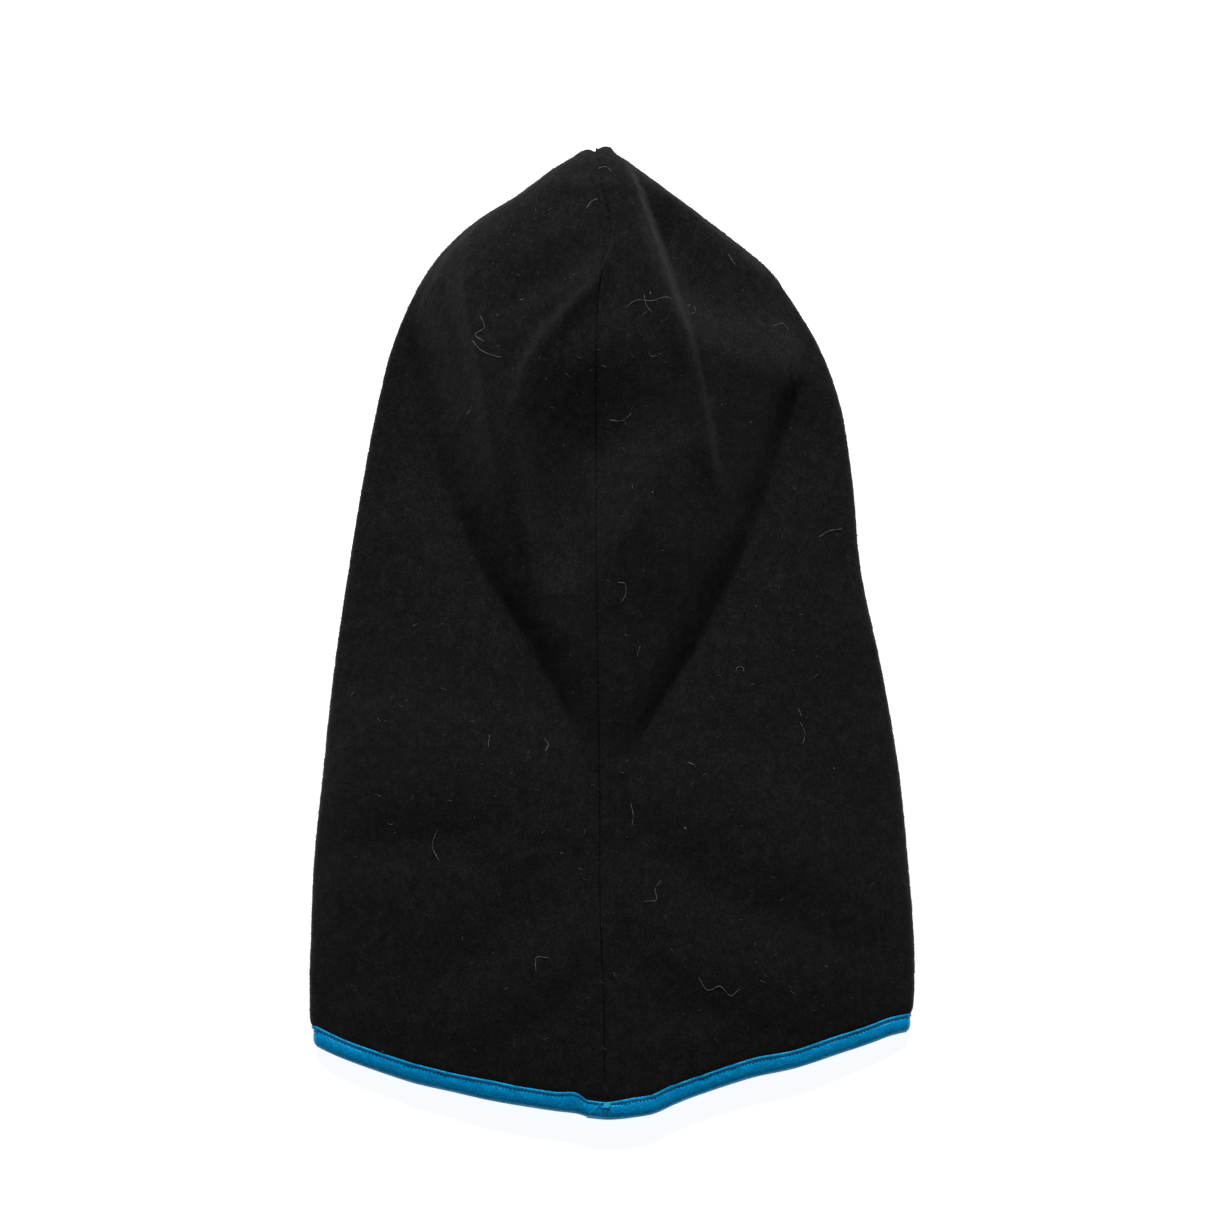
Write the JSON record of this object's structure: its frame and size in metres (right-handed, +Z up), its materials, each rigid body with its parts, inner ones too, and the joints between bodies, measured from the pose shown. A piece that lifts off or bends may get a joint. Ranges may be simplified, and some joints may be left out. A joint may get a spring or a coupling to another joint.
{
  "type": "balaclava",
  "caption": "Black fleece balaclava laid flat on its front, sewn from two panels, with a folded tape binding on the neck hem and round the face opening.",
  "frame": {"origin": "centre of the bounding box at floor level; the hood lies flat on its front, with its face opening on the floor", "axes": "+Y from the neck to the crown, +X towards the wearer's right, +Z up out of the back of the hood"},
  "size_m": [0.268, 0.43, 0.0322],
  "materials": {
    "black_fleece": "brushed fleece, matt",
    "blue_tape": "satin stretch tape",
    "blue_thread": "twisted sewing thread",
    "black_thread": "twisted sewing thread",
    "white_label": "woven satin label, blank"
  },
  "bodies": {
    "root": {"left_panel": "black_fleece", "right_panel": "black_fleece", "hem_binding": "blue_tape", "face_binding": "blue_tape", "hem_needle_thread": "blue_thread", "hem_bobbin_thread": "blue_thread", "face_needle_thread": "blue_thread", "face_bobbin_thread": "blue_thread", "back_seam_needle_thread": "black_thread", "back_seam_looper_thread": "black_thread", "chin_seam_needle_thread": "black_thread", "chin_seam_looper_thread": "black_thread", "hem_join_bartack": "blue_thread", "face_join_bartack": "blue_thread", "care_label": "white_label"}
  },
  "joints": []
}
